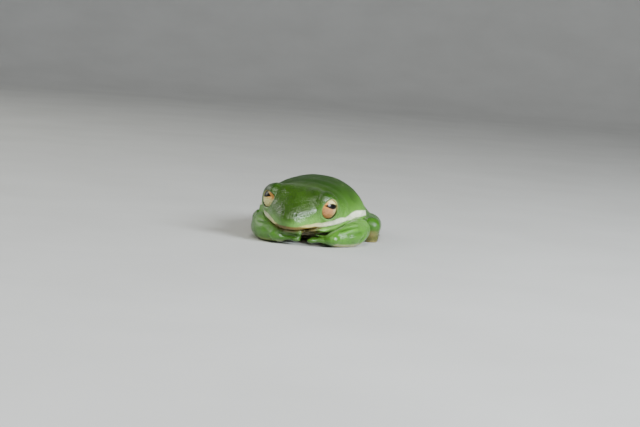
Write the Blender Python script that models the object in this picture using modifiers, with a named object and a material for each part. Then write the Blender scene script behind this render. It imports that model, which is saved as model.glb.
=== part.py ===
"""A green tree frog asleep on the floor, life size, as a still display model.

Run with: blender --background --python part.py
Metres, +Z up. The frog faces -Y, so its left side is at +X. The origin is on the floor,
under the middle of the whole body's box. Sizes below are millimetres and MM turns them into metres.
"""

import math

import bmesh
import bpy
from mathutils import Matrix, Vector

MM = 0.001
GAP = 0.3  # air between neighbouring pieces
SLIVERS = (0.005, 0.01, 0.02, 0.03, 0.04, 0.06)  # lengths of edge to close up, in the order tried
SIDES = {"left": 1, "right": -1}

# Driving dimensions
BODY_LENGTH = 48.0  # snout to vent
TRUNK_WIDTH = 22.4
BACK_HEIGHT = 12.3
HEAD_WIDTH = 17.2
EYE_RADIUS = 2.6

# The head turns on the neck: to the frog's right, nose down, and leans a little.
# In its own frame -Y is ahead, and heights count from the mouth line.
NECK = Vector((0, -9.5, 5.3))
HEAD_YAW, HEAD_PITCH, HEAD_ROLL = 11.0, 9.0, 3.8
SNOUT = 14.5  # neck to snout tip
JAW_CORNER = 1.2  # neck to the corners of the mouth
NECK_CUT = 1.6  # neck back to the cut that parts the head from the trunk

# Each eye bulges under a brow, and looks out and a little up between its lids
EYE_FORWARD, EYE_OUT, EYE_UP = 6.9, 4.95, 3.8
BROW_RADIUS = EYE_RADIUS + 0.75
GAZE_OUT, GAZE_UP = 53.0, 8.0  # degrees from straight ahead, and above level
LID_OPENING = 2.1  # radius of the opening between the lids

# Sections of the head: distance ahead of the neck, half width, top, widest level, underside
JOWL = HEAD_WIDTH / 2
HEAD = (
    (-9.0, 0.0, 0.0, 0.0, 0.0),
    (-5.0, 0.86 * JOWL, 6.1, 0.4, -3.6),
    (JAW_CORNER, JOWL, 6.5, 0.4, -3.4),
    (EYE_FORWARD, 0.83 * JOWL, 6.4, 0.5, -2.6),
    (10.2, 0.59 * JOWL, 5.1, 0.6, -1.8),
    (12.6, 0.36 * JOWL, 3.8, 0.7, -1.0),
    (SNOUT, 0.0, 1.2, 1.2, 1.2),
)

# Sections of the trunk: distance behind the neck, and then as for the head, but above the floor
FLANK = TRUNK_WIDTH / 2
TRUNK = (
    (-7.0, 0.0, 5.0, 5.0, 5.0),
    (-4.0, 0.68 * FLANK, 0.70 * BACK_HEIGHT, 4.4, 0.8),
    (1.5, 0.88 * FLANK, 0.92 * BACK_HEIGHT, 4.3, -0.1),
    (7.0, FLANK, 0.99 * BACK_HEIGHT, 4.2, -0.4),
    (13.0, 0.92 * FLANK, BACK_HEIGHT, 4.2, -0.4),
    (20.5, 0.70 * FLANK, 0.87 * BACK_HEIGHT, 4.2, -0.4),
    (27.0, 0.50 * FLANK, 0.67 * BACK_HEIGHT, 4.1, -0.2),
    (31.0, 0.35 * FLANK, 0.52 * BACK_HEIGHT, 4.0, 1.2),
    (BODY_LENGTH - SNOUT + 0.4, 0.0, 4.2, 4.2, 4.2),
)

# Joints of the limbs, each as on the left side. The right limbs are tucked in closer.
JOINTS = {
    "left": {
        "shoulder": (6.4, -6.6, 3.2),
        "elbow": (10.7, -11.3, 3.1),
        "wrist": (6.9, -19.5, 1.75),
        "hip": (4.7, 18.6, 3.8),
        "knee": (12.1, -5.0, 3.2),
        "heel": (8.9, 20.0, 2.2),
        "sole": (11.6, 7.4, 0.9),
    },
    "right": {
        "shoulder": (6.4, -6.6, 3.2),
        "elbow": (9.0, -11.4, 2.9),
        "wrist": (5.6, -19.5, 1.8),
        "hip": (4.7, 18.6, 3.8),
        "knee": (9.7, -3.8, 3.0),
        "heel": (8.3, 20.2, 2.2),
        "sole": (9.9, 7.6, 0.9),
    },
}

# Radii along each limb from joint to joint, and how far it bows outwards
UPPER_ARM_RADII, UPPER_ARM_BOW = (2.4, 2.4, 2.3), 0.5
FOREARM_RADII, FOREARM_BOW = (2.6, 2.5, 2.2, 1.65), 0.8
THIGH_RADII, THIGH_BOW = (3.3, 3.0, 2.3, 1.7), 0.9
SHANK_RADII, SHANK_BOW = (2.1, 1.9, 1.8, 1.4), 1.0
TARSUS_RADII, TARSUS_BOW = (1.3, 1.1, 1.1, 1.1), 0.6

# Where the folded lengths of a limb start and end beside their joint, so that they lie side by side
THIGH_END = Vector((-1.3, 0.8, 0.2))
SHANK_START = Vector((0.5, -0.6, 0.0))
TARSUS_START = Vector((-0.2, 0.6, -0.5))
FOREARM_START = Vector((-0.2, -1.0, -0.3))

# Hand, from the wrist: palm, and the knuckle and tip of each finger
PALM = Vector((-1.0, -0.7, -0.1))
PALM_RADII = (2.0, 1.7, 1.2)
FINGERS = (
    ((-1.8, -1.6, -0.5), (-4.7, -1.8, -0.55)),
    ((-1.8, -0.9, 0.0), (-4.9, -0.3, 0.4)),
    ((-1.6, -0.3, -0.2), (-4.6, 1.5, -0.5)),
    ((-1.0, 0.1, -0.4), (-2.8, 2.7, -0.6)),
)

# Foot, from the sole's joint: web, and the knuckle and tip of each toe
WEB = Vector((0.4, -3.6, -0.55))
WEB_RADII = (1.9, 4.4, 0.5)
TOES = (
    ((-0.9, 0.6, -0.2), (-2.6, -3.0, -0.2)),
    ((-0.5, 0.0, -0.2), (-2.4, -7.2, -0.2)),
    ((-0.1, -0.4, -0.2), (-1.0, -10.8, -0.2)),
    ((0.3, -0.4, -0.2), (0.8, -11.2, -0.2)),
    ((0.5, 0.2, -0.2), (1.6, -7.2, -0.2)),
)
DIGIT_RADIUS = 0.55
DIGIT_ARCH = 0.25  # rise of a digit's middle
DISC_RADII = (1.0, 0.9, 0.55)

BLOCK = 120.0  # side of the blocks that cut a body in two
TRIANGLES = {
    "head": 1650,
    "lower_jaw": 420,
    "trunk": 1500,
    "upper_arm": 230,
    "forearm": 320,
    "hand": 480,
    "thigh": 380,
    "shank": 420,
    "foot": 700,
}

# Colours
GREEN = (0.13, 0.32, 0.045)
LIMB_GREEN = (0.12, 0.29, 0.05)
PALE_GREEN = (0.42, 0.44, 0.20)
OLIVE = (0.30, 0.30, 0.10)
GOLD = (0.62, 0.42, 0.16)


def clear_scene():
    for obj in list(bpy.data.objects):
        bpy.data.objects.remove(obj)


def collection(name):
    made = bpy.data.collections.new(name)
    bpy.context.scene.collection.children.link(made)
    return made


def material(name, colour, roughness):
    made = bpy.data.materials.new(name)
    made.use_nodes = True
    shader = made.node_tree.nodes["Principled BSDF"]
    shader.inputs["Base Color"].default_value = (*colour, 1)
    shader.inputs["Roughness"].default_value = roughness
    shader.inputs["Metallic"].default_value = 0
    return made


def mesh_object(name, mesh):
    made = bpy.data.objects.new(name, mesh)
    bpy.context.scene.collection.objects.link(made)
    return made


def baked(obj, name=None):
    """A plain mesh object in world space, with obj's modifiers applied. obj is removed."""
    bpy.context.view_layer.update()
    graph = bpy.context.evaluated_depsgraph_get()
    mesh = bpy.data.meshes.new_from_object(obj.evaluated_get(graph))
    mesh.transform(obj.matrix_world)
    name = name or obj.name
    bpy.data.objects.remove(obj)
    bm = bmesh.new()
    bm.from_mesh(mesh)
    bmesh.ops.remove_doubles(bm, verts=bm.verts, dist=SLIVERS[0] / 2 * MM)
    bm.to_mesh(mesh)
    bm.free()
    return mesh_object(name, mesh)


def smooth_value(x, xs, ys):
    """y at x on a curve through the points that never overshoots between them."""
    slopes = [(b - a) / (q - p) for a, b, p, q in zip(ys, ys[1:], xs, xs[1:])]
    tangents = [slopes[0]]
    for a, b in zip(slopes, slopes[1:]):
        tangents.append(0.0 if a * b <= 0 else 2 * a * b / (a + b))
    tangents.append(slopes[-1])
    i = max(k for k in range(len(slopes)) if x >= xs[k] or k == 0)
    span = xs[i + 1] - xs[i]
    t = (x - xs[i]) / span
    rise = ys[i] * (1 + 2 * t) * (1 - t) ** 2 + ys[i + 1] * t * t * (3 - 2 * t)
    return rise + span * t * (1 - t) * (tangents[i] * (1 - t) - tangents[i + 1] * t)


def section_at(x, sections):
    """(half width, rise, widest level, drop) of a lofted body at x.

    Squares of the sizes are interpolated, so its ends close round.
    """
    xs = [s[0] for s in sections]
    level = smooth_value(x, xs, [s[3] for s in sections])
    sizes = [[s[1] for s in sections], [s[2] - s[3] for s in sections], [s[3] - s[4] for s in sections]]
    width, rise, drop = (math.sqrt(max(0.0, smooth_value(x, xs, [v * v for v in size]))) for size in sizes)
    return width, rise, level, drop


def loft(name, sections, powers, forward, rings=40, segments=44):
    """A body through its sections.

    powers square off its upper and lower halves, and forward is +1 where the sections run ahead.
    """
    bm = bmesh.new()
    first, last = sections[0][0], sections[-1][0]
    loops = []
    for i in range(1, rings):
        x = first + (last - first) * (1 - math.cos(math.pi * i / rings)) / 2
        width, rise, level, drop = section_at(x, sections)
        loop = []
        for j in range(segments):
            angle = 2 * math.pi * j / segments
            c, s = math.cos(angle), math.sin(angle)
            exponent = 2 / (powers[0] if s > 0 else powers[1])
            across = width * math.copysign(abs(c) ** exponent, c)
            up = level + (rise if s > 0 else drop) * math.copysign(abs(s) ** exponent, s)
            loop.append(bm.verts.new(Vector((across, -forward * x, up)) * MM))
        loops.append(loop)
    for a, b in zip(loops, loops[1:]):
        for j in range(segments):
            k = (j + 1) % segments
            bm.faces.new((a[j], a[k], b[k], b[j]))
    for loop, x, level in ((loops[0], first, sections[0][3]), (loops[-1], last, sections[-1][3])):
        tip = bm.verts.new(Vector((0, -forward * x, level)) * MM)
        for j in range(segments):
            bm.faces.new((loop[j], loop[(j + 1) % segments], tip))
    bmesh.ops.recalc_face_normals(bm, faces=bm.faces)
    mesh = bpy.data.meshes.new(name)
    bm.to_mesh(mesh)
    bm.free()
    return mesh_object(name, mesh)


def ellipsoid(name, centre, radii, turn=0.0, segments=24):
    bpy.ops.mesh.primitive_uv_sphere_add(segments=segments, ring_count=segments // 2, radius=1)
    made = bpy.context.active_object
    made.name = name
    made.location = Vector(centre) * MM
    made.rotation_euler.z = math.radians(turn)
    made.scale = Vector(radii) * MM
    return baked(made)


def spline_points(stations, step):
    """Points on a Catmull-Rom curve through (x, y, z, radius) stations, about step apart."""
    rows = [Vector(s) for s in stations]
    rows = [2 * rows[0] - rows[1], *rows, 2 * rows[-1] - rows[-2]]
    found = []
    for a, b, c, d in zip(rows, rows[1:], rows[2:], rows[3:]):
        count = max(2, round((c - b).length / step))
        for k in range(count):
            t = k / count
            bend = (2 * a - 5 * b + 4 * c - d) * t * t + (3 * b - a - 3 * c + d) * t**3
            found.append((2 * b + (c - a) * t + bend) / 2)
    found.append(rows[-2])
    return found


def tube(name, stations, sides=12, step=1.8):
    """A limb: a tube of changing radius along its stations, with round ends."""
    points = spline_points(stations, step)

    def cap(end, inner):
        way = (end.to_3d() - inner.to_3d()).normalized()
        rounds = []
        for share in (0.35, 0.65, 0.88, 0.99):
            spot = end.to_3d() + way * end.w * share
            rounds.append(Vector((*spot, end.w * math.sqrt(1 - share * share))))
        return rounds

    points = cap(points[0], points[1])[::-1] + points + cap(points[-1], points[-2])
    curve = bpy.data.curves.new(name, "CURVE")
    curve.dimensions = "3D"
    curve.bevel_depth = MM
    curve.bevel_resolution = (sides - 4) // 2
    curve.use_fill_caps = True
    spline = curve.splines.new("POLY")
    spline.points.add(len(points) - 1)
    for point, row in zip(spline.points, points):
        point.co = (*(row.to_3d() * MM), 1)
        point.radius = row.w
    return baked(mesh_object(name, curve))


def joined(name, pieces):
    """The pieces as one mesh object. They may still run through each other."""
    bm = bmesh.new()
    for piece in pieces:
        piece.data.transform(piece.matrix_world)
        bm.from_mesh(piece.data)
        bpy.data.objects.remove(piece)
    mesh = bpy.data.meshes.new(name)
    bm.to_mesh(mesh)
    bm.free()
    return mesh_object(name, mesh)


def fused(name, pieces, voxel, smoothing, triangles):
    """Overlapping pieces grown into one body, its hollows softened and its faces thinned out."""
    body = joined(name, pieces)
    remesh = body.modifiers.new("grow together", "REMESH")
    remesh.mode = "VOXEL"
    remesh.voxel_size = voxel * MM
    smooth = body.modifiers.new("soften", "SMOOTH")
    smooth.factor = 0.5
    smooth.iterations = smoothing
    return thinned(baked(body), triangles)


def is_closed(obj):
    bm = bmesh.new()
    bm.from_mesh(obj.data)
    closed = all(len(edge.link_faces) == 2 for edge in bm.edges)
    bm.free()
    return closed


def without_slivers(obj, shortest):
    """obj with the edges shorter than this closed up, as cuts leave them."""
    bm = bmesh.new()
    bm.from_mesh(obj.data)
    bmesh.ops.dissolve_degenerate(bm, edges=bm.edges, dist=shortest * MM)
    bm.to_mesh(obj.data)
    bm.free()
    return obj


def thinned(obj, triangles):
    """obj with about this many triangles, spent where it curves most.

    Slivers can pinch a surface open as its edges collapse, so they are closed up first,
    further each time until it stays whole. A surface that never does is left as it was.
    """
    name = obj.name
    for shortest in SLIVERS:
        thin = without_slivers(copied(obj, name), shortest)
        count = sum(len(face.vertices) - 2 for face in thin.data.polygons)
        collapse = thin.modifiers.new("thin out", "DECIMATE")
        collapse.ratio = min(1, triangles / count)
        collapse.use_collapse_triangulate = True
        thin = baked(thin)
        if is_closed(thin):
            bpy.data.objects.remove(obj)
            thin.name = name
            return thin
        bpy.data.objects.remove(thin)
    return obj


def swollen(obj, by):
    """A copy of obj grown by this much all over, which cuts a clearance round obj."""
    made = copied(obj, obj.name + "_clearance")
    grow = made.modifiers.new("grow", "DISPLACE")
    grow.mid_level = 0
    grow.strength = by * MM
    return as_cutter(made)


def as_cutter(obj):
    obj.hide_render = True
    obj.display_type = "WIRE"
    return obj


def copied(obj, name):
    return mesh_object(name, obj.data.copy())


def united(name, obj, other):
    """Two overlapping bodies as one."""
    modifier = obj.modifiers.new("unite", "BOOLEAN")
    modifier.operation = "UNION"
    modifier.object = other
    made = baked(obj, name)
    bpy.data.objects.remove(other)
    return made


def cut(obj, cutters):
    """What is left of obj outside the cutters."""
    for number, cutter in enumerate(cutters):
        modifier = obj.modifiers.new(f"cut {number}", "BOOLEAN")
        modifier.operation = "DIFFERENCE"
        modifier.use_self = True
        modifier.object = cutter
    obj = baked(obj)
    return largest(obj)


def largest(obj):
    """obj with only its largest body."""
    bm = bmesh.new()
    bm.from_mesh(obj.data)
    left = set(bm.verts)
    islands = []
    while left:
        grown, edge = set(), {left.pop()}
        while edge:
            grown |= edge
            edge = {e.other_vert(v) for v in edge for e in v.link_edges} - grown
        left -= grown
        islands.append(grown)
    keep = max(islands, key=len)
    bmesh.ops.delete(bm, geom=[v for v in bm.verts if v not in keep], context="VERTS")
    bm.to_mesh(obj.data)
    bm.free()
    return obj


def slab(name, centre, size, turn=Matrix.Identity(4)):
    """A plain box to cut with."""
    bpy.ops.mesh.primitive_cube_add(size=1)
    made = bpy.context.active_object
    made.name = name
    place = Matrix.Translation(Vector(centre) * MM)
    made.matrix_world = turn @ place @ Matrix.Diagonal((*(Vector(size) * MM), 1))
    return as_cutter(made)


def head_frame():
    """From the head's own frame to the body's, in metres."""
    turn = Matrix.Rotation(math.radians(-HEAD_YAW), 4, "Z")
    nod = Matrix.Rotation(math.radians(HEAD_PITCH), 4, "X")
    lean = Matrix.Rotation(math.radians(HEAD_ROLL), 4, "Y")
    return Matrix.Translation(NECK * MM) @ turn @ nod @ lean


def eye_centre(side):
    return head_frame() @ (Vector((side * EYE_OUT, -EYE_FORWARD, EYE_UP)) * MM) / MM


def joint(side, name):
    """A limb's joint, as on the left side: the right limbs are mirrored once they are built."""
    return Vector(JOINTS[side][name])


def limb(name, start, end, radii, bow):
    """A length of limb between two points, bowed outwards in its middle."""
    along = (end - start).normalized()
    outward = along.cross(Vector((0, 0, 1)))
    outward *= math.copysign(bow, outward.x)
    stations = []
    for number, radius in enumerate(radii):
        share = number / (len(radii) - 1)
        spot = start.lerp(end, share) + outward * math.sin(math.pi * share)
        stations.append((*spot, radius))
    return tube(name, stations)


def core():
    """Head and trunk as one body, before the cuts that part them."""
    trunk = loft("trunk_form", TRUNK, (2.1, 1.5), -1)
    trunk.location.y = NECK.y * MM
    head = loft("head_form", HEAD, (2.4, 2.1), 1)
    head.matrix_world = head_frame()
    brows = [ellipsoid("brow", eye_centre(side), (BROW_RADIUS,) * 3) for side in SIDES.values()]
    return fused("core", [baked(trunk), baked(head), *brows], voxel=0.4, smoothing=8, triangles=2800)


def part_core(body, floor):
    """The head above the mouth, the lower jaw with the throat, and the trunk, with thin cuts between them."""
    head = head_frame()
    ahead = slab("ahead_of_neck", (0, NECK_CUT + GAP / 2 - BLOCK / 2, 0), (BLOCK,) * 3, head)
    behind = slab("behind_neck", (0, NECK_CUT - GAP / 2 + BLOCK / 2, 0), (BLOCK,) * 3, head)
    above = slab("above_mouth", (0, 0, BLOCK / 2 - GAP / 2), (BLOCK,) * 3, head)
    below = slab("below_mouth", (0, 0, GAP / 2 - BLOCK / 2), (BLOCK,) * 3, head)
    sockets = [eye_opening(side) for side in SIDES]
    return [
        thinned(cut(copied(body, "head"), [behind, below, *sockets]), TRIANGLES["head"]),
        thinned(cut(copied(body, "lower_jaw"), [behind, above, floor]), TRIANGLES["lower_jaw"]),
        thinned(cut(copied(body, "trunk"), [ahead, floor]), TRIANGLES["trunk"]),
    ]


def eye_opening(side):
    """The socket that an eye sits in, and the opening between its lids."""
    centre = eye_centre(SIDES[side])
    socket = ellipsoid("socket", centre, (EYE_RADIUS + GAP,) * 3, segments=20)
    bearing = math.radians(GAZE_OUT) * SIDES[side]
    gaze = Vector((math.sin(bearing), -math.cos(bearing), math.tan(math.radians(GAZE_UP)))).normalized()
    gaze = (head_frame().to_3x3() @ gaze).normalized()
    reach = 3 * EYE_RADIUS
    bpy.ops.mesh.primitive_cylinder_add(vertices=20, radius=LID_OPENING * MM, depth=reach * MM)
    opening = bpy.context.active_object
    turn = gaze.to_track_quat("Z", "X").to_matrix().to_4x4()
    opening.matrix_world = Matrix.Translation((centre + gaze * reach / 2) * MM) @ turn
    return as_cutter(united("opening_" + side, socket, baked(opening)))


def digits(name, origin, pairs):
    """Fingers or toes that end in round adhesive discs."""
    made = []
    for knuckle, tip in pairs:
        knuckle, tip = origin + Vector(knuckle), origin + Vector(tip)
        middle = (knuckle + tip) / 2 + Vector((0, 0, DIGIT_ARCH))
        made.append(tube(name, [(*p, DIGIT_RADIUS) for p in (knuckle, middle, tip)], sides=10, step=0.8))
        heading = math.degrees(math.atan2(tip.y - knuckle.y, tip.x - knuckle.x))
        made.append(ellipsoid(name, tip, DISC_RADII, heading, segments=16))
    return made


def hand(side):
    wrist = joint(side, "wrist")
    palm = ellipsoid("palm", wrist + PALM, PALM_RADII, turn=-35)
    pieces = [palm, *digits("finger", wrist, FINGERS)]
    return fused(f"hand_{side}", pieces, voxel=0.2, smoothing=3, triangles=2 * TRIANGLES["hand"])


def foot(side):
    sole = joint(side, "sole")
    tarsus = limb("tarsus", joint(side, "heel") + TARSUS_START, sole, TARSUS_RADII, TARSUS_BOW)
    web = ellipsoid("web", sole + WEB, WEB_RADII, turn=-6)
    pieces = [tarsus, web, *digits("toe", sole, TOES)]
    return fused(f"foot_{side}", pieces, voxel=0.25, smoothing=3, triangles=2 * TRIANGLES["foot"])


def arm(side):
    shoulder, elbow, wrist = (joint(side, name) for name in ("shoulder", "elbow", "wrist"))
    return [
        limb(f"upper_arm_{side}", shoulder, elbow, UPPER_ARM_RADII, UPPER_ARM_BOW),
        limb(f"forearm_{side}", elbow + FOREARM_START, wrist, FOREARM_RADII, FOREARM_BOW),
        hand(side),
    ]


def leg(side):
    hip, knee, heel = (joint(side, name) for name in ("hip", "knee", "heel"))
    return [
        limb(f"thigh_{side}", hip, knee + THIGH_END, THIGH_RADII, THIGH_BOW),
        foot(side),
        limb(f"shank_{side}", knee + SHANK_START, heel, SHANK_RADII, SHANK_BOW),
    ]


def placed_limb(pieces, side, keep_clear):
    """A limb's pieces on their own side, each cut clear of keep_clear and of the pieces before it."""
    made = []
    for piece in pieces:
        if SIDES[side] < 0:
            piece.data.transform(Matrix.Diagonal((-1, 1, 1, 1)))
            piece.data.flip_normals()
        kind = piece.name.removesuffix("_" + side)
        piece = thinned(cut(piece, keep_clear), TRIANGLES[kind])
        keep_clear.append(swollen(piece, GAP))
        made.append(piece)
    return made


def finish(obj, skin, frog, root):
    """Give a piece its material and collection, and its origin in its own middle."""
    obj.data.materials.clear()
    obj.data.materials.append(skin)
    corners = [Vector(c) for c in obj.bound_box]
    middle = (corners[0] + corners[6]) / 2
    obj.data.transform(Matrix.Translation(-middle))
    obj.location = middle
    obj.parent = root
    for holder in obj.users_collection:
        holder.objects.unlink(obj)
    frog.objects.link(obj)


def main():
    clear_scene()
    frog = collection("tree_frog")
    helpers = collection("cutters")
    skins = {
        "head": material("green_skin", GREEN, 0.35),
        "trunk": material("green_back", GREEN, 0.38),
        "lower_jaw": material("pale_throat", PALE_GREEN, 0.4),
        "eye": material("golden_eye", GOLD, 0.08),
        "limb": material("green_limb", LIMB_GREEN, 0.38),
        "foot": material("olive_foot", OLIVE, 0.4),
    }

    floor = slab("below_floor", (0, 0, -BLOCK / 2), (BLOCK,) * 3)
    body = core()
    pieces = part_core(body, floor)
    around_body = [floor, swollen(body, GAP)]
    for side in SIDES:
        pieces.append(ellipsoid(f"eye_{side}", eye_centre(SIDES[side]), (EYE_RADIUS,) * 3, segments=20))
        pieces += placed_limb(arm(side) + leg(side), side, list(around_body))
    bpy.data.objects.remove(body)

    corners = [Vector(c) for piece in pieces for c in piece.bound_box]
    low = Vector(map(min, zip(*corners)))
    high = Vector(map(max, zip(*corners)))
    root = bpy.data.objects.new("frog_root", None)
    frog.objects.link(root)
    root.location = Vector((-(low.x + high.x) / 2, -(low.y + high.y) / 2, -low.z))
    for piece in pieces:
        kind = piece.name.split("_")[0]
        kind = {"hand": "foot", "lower": "lower_jaw"}.get(kind, kind)
        finish(piece, skins.get(kind, skins["limb"]), frog, root)
    for helper in list(bpy.context.scene.collection.objects):
        bpy.context.scene.collection.objects.unlink(helper)
        helpers.objects.link(helper)


if __name__ == "__main__":
    main()
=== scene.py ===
"""A green tree frog at rest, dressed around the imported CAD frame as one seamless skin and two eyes.

The CAD solids are read as distance fields, grown together, softened, sculpted and meshed again.
Lengths in the sculpting code are millimetres; Blender's own objects are in metres.
"""

import math

import bpy
import numpy as np
from mathutils import Matrix, Vector


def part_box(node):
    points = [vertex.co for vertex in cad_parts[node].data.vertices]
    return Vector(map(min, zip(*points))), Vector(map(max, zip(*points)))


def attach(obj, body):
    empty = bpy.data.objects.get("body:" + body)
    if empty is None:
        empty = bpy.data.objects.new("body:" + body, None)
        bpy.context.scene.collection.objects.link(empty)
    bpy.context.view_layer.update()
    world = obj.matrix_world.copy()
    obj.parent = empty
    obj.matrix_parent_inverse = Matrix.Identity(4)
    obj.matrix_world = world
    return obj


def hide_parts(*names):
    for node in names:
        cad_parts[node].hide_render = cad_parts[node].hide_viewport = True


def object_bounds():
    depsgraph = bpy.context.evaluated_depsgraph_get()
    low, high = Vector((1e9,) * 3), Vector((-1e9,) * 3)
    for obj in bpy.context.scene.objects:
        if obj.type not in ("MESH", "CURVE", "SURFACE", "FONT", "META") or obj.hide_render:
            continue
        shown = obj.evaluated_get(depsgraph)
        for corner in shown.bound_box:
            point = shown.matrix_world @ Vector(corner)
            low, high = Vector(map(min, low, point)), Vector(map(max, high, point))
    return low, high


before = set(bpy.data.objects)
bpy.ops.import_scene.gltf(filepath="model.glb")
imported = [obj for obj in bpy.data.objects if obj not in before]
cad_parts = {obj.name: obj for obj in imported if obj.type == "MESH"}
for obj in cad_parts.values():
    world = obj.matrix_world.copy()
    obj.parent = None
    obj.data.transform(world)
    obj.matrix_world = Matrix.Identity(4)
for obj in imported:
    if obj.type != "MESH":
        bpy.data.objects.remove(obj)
CAD_LOW, CAD_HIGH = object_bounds()

MM = 0.001
TINY = 1e-12  # keeps a division off zero
SPACING = 0.12  # of the sculpting grid
BAND = 1.5  # how far from a surface its distance field counts
PAD = 1.3  # grid round the CAD box
GRID_SHIFT = (0.0131, 0.0173, 0.0071)  # keeps the grid's points off the solids' corners
FLOOR = CAD_LOW.z / MM
CORNERS = [(i, j, k) for i in (0, 1) for j in (0, 1) for k in (0, 1)]  # of a cell of the grid

SIDES = {"left": 1, "right": -1}  # the sign of X on each side
LIMBS = {"arm": ("upper_arm", "forearm", "hand"), "leg": ("thigh", "shank", "foot")}

# The head turns on the neck as in the CAD source. In its own frame +X is the frog's left,
# -Y is ahead and heights count from the mouth line.
HEAD_YAW, HEAD_PITCH, HEAD_ROLL = 11.0, 9.0, 3.8
BETWEEN_EYES_IN_HEAD = (0, -6.9, 3.8)
JAW_CORNER = 1.2  # ahead of the neck
EYE_RADIUS = 2.6
GAZE_OUT, GAZE_UP = 53.0, 8.0  # from straight ahead, in degrees
EYE_SUNK = {"left": 0.0, "right": 0.35}  # how far an eye is drawn in along its gaze

# The opening between the lids: half sizes, lean of its top towards the back, and its middle
LID_HALF_WIDTH = {"left": 1.68, "right": 1.8}
LID_HALF_HEIGHT = {"left": 1.92, "right": 1.6}
LID_LEAN = math.radians(20)
LID_MIDDLE = {"left": (0.1, -0.2), "right": (-0.55, -0.05)}
LID_TAPER = 0.10  # of the opening's width towards its top


# ---------------- grid and fields

ORIGIN = np.array(CAD_LOW) / MM - PAD - np.array(GRID_SHIFT)
SHAPE = np.ceil((np.array(CAD_HIGH) / MM + PAD - ORIGIN) / SPACING).astype(int) + 1
AXES = [ORIGIN[i] + SPACING * np.arange(SHAPE[i]) for i in range(3)]
EVERYWHERE = tuple(slice(0, count) for count in SHAPE)


def block_around(low, high, margin):
    """The part of the grid that holds a box and a margin round it, as three slices."""
    first = np.floor((np.asarray(low) - margin - ORIGIN) / SPACING).astype(int)
    last = np.ceil((np.asarray(high) + margin - ORIGIN) / SPACING).astype(int) + 1
    return tuple(slice(max(0, a), min(n, b)) for a, b, n in zip(first, last, SHAPE))


def grid_points(block):
    """X, Y and Z of a block's points, ready to broadcast."""
    return np.ix_(*(axis[part].astype(np.float32) for axis, part in zip(AXES, block)))


def listed_points(block):
    """A block's points as rows of X, Y and Z."""
    return np.stack(np.broadcast_arrays(*grid_points(block)), axis=-1).reshape(-1, 3)


def triangles_of(obj):
    """The three corners of each of an object's triangles, in millimetres."""
    mesh = obj.data
    mesh.calc_loop_triangles()
    points = np.empty(len(mesh.vertices) * 3, np.float32)
    mesh.vertices.foreach_get("co", points)
    corners = np.empty(len(mesh.loop_triangles) * 3, np.int32)
    mesh.loop_triangles.foreach_get("vertices", corners)
    return points.reshape(-1, 3)[corners.reshape(-1, 3)].astype(float) / MM


def along(direction, start, grid):
    """Dot product of direction with every grid point's offset from start."""
    return sum(np.float32(d) * (g - np.float32(s)) for d, s, g in zip(direction, start, grid))


FLAT = 1e-9  # an area or length squared that counts as none
SLIVER = 2e-3  # a triangle flatter than this share of its length counts as its edges alone


def squared_distance(face, grid):
    """From every grid point to one triangle."""
    a, b, c = face
    sides = ((a, b), (b, c), (c, a))
    normal = np.cross(b - a, a - c)
    area = normal @ normal
    longest = max(np.sum((q - p) ** 2) for p, q in sides)
    whole = area > max(FLAT, (SLIVER * longest) ** 2)
    over = along(normal, a, grid) ** 2 / np.float32(max(area, FLAT))
    beside = np.float32(np.inf)
    within = whole
    for p, q in sides:
        edge = q - p
        length = np.float32(max(edge @ edge, FLAT))
        reach = along(edge, p, grid)
        share = np.clip(reach / length, 0, 1)
        offset = sum((g - np.float32(s)) ** 2 for g, s in zip(grid, p))
        beside = np.minimum(beside, offset - share * (2 * reach - share * length))
        within = within & (along(np.cross(edge, normal), p, grid) >= 0)
    return np.where(within, over, beside)


def add_crossings(winding, face, columns):
    """Marks where a triangle is crossed by the grid's upright columns."""
    a, b, c = face
    turn = (b[0] - a[0]) * (c[1] - a[1]) - (b[1] - a[1]) * (c[0] - a[0])
    if abs(turn) < TINY:
        return
    first = [int(np.searchsorted(columns[i], face[:, i].min())) for i in range(2)]
    last = [int(np.searchsorted(columns[i], face[:, i].max())) for i in range(2)]
    if first[0] >= last[0] or first[1] >= last[1]:
        return
    x, y = np.meshgrid(columns[0][first[0] : last[0]], columns[1][first[1] : last[1]], indexing="ij")
    shares = []
    for p, q in ((b, c), (c, a), (a, b)):
        shares.append(((p[0] - x) * (q[1] - y) - (p[1] - y) * (q[0] - x)) / turn)
    hit = (shares[0] > 0) & (shares[1] > 0) & (shares[2] > 0)
    if not hit.any():
        return
    height = shares[0] * a[2] + shares[1] * b[2] + shares[2] * c[2]
    level = np.ceil((height - columns[2][0]) / SPACING).astype(int)
    level = np.clip(level, 0, winding.shape[2] - 1)
    rows, cols = np.nonzero(hit)
    np.add.at(winding, (rows + first[0], cols + first[1], level[hit]), -1 if turn > 0 else 1)


def solid_field(name):
    """(block, signed distance in it) of a CAD node, no further than BAND from its surface."""
    faces = triangles_of(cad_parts[name])
    block = block_around(faces.min((0, 1)), faces.max((0, 1)), BAND)
    start = [part.start for part in block]
    size = [part.stop - part.start for part in block]
    nearest = np.full(size, BAND**2, np.float32)
    winding = np.zeros(size, np.int16)
    columns = [AXES[i][block[i]] for i in range(3)]
    for face in faces:
        near = block_around(face.min(0), face.max(0), BAND)
        local = tuple(slice(part.start - s, part.stop - s) for part, s in zip(near, start))
        nearest[local] = np.minimum(nearest[local], squared_distance(face, grid_points(near)))
        add_crossings(winding, face, columns)
    inside = np.cumsum(winding, axis=2) != 0
    return block, np.where(inside, -1, 1) * np.sqrt(np.maximum(nearest, 0))


def blended(one, other, blend):
    """The union of two fields, with the valley between them rounded."""
    rounding = np.maximum(blend - np.abs(one - other), 0) / blend
    return np.minimum(one, other) - rounding * rounding * blend / 4


def merge(field, block, other, blend):
    """Grows other into a block of field, with the valley between them rounded."""
    field[block] = blended(field[block], other, blend)


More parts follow.
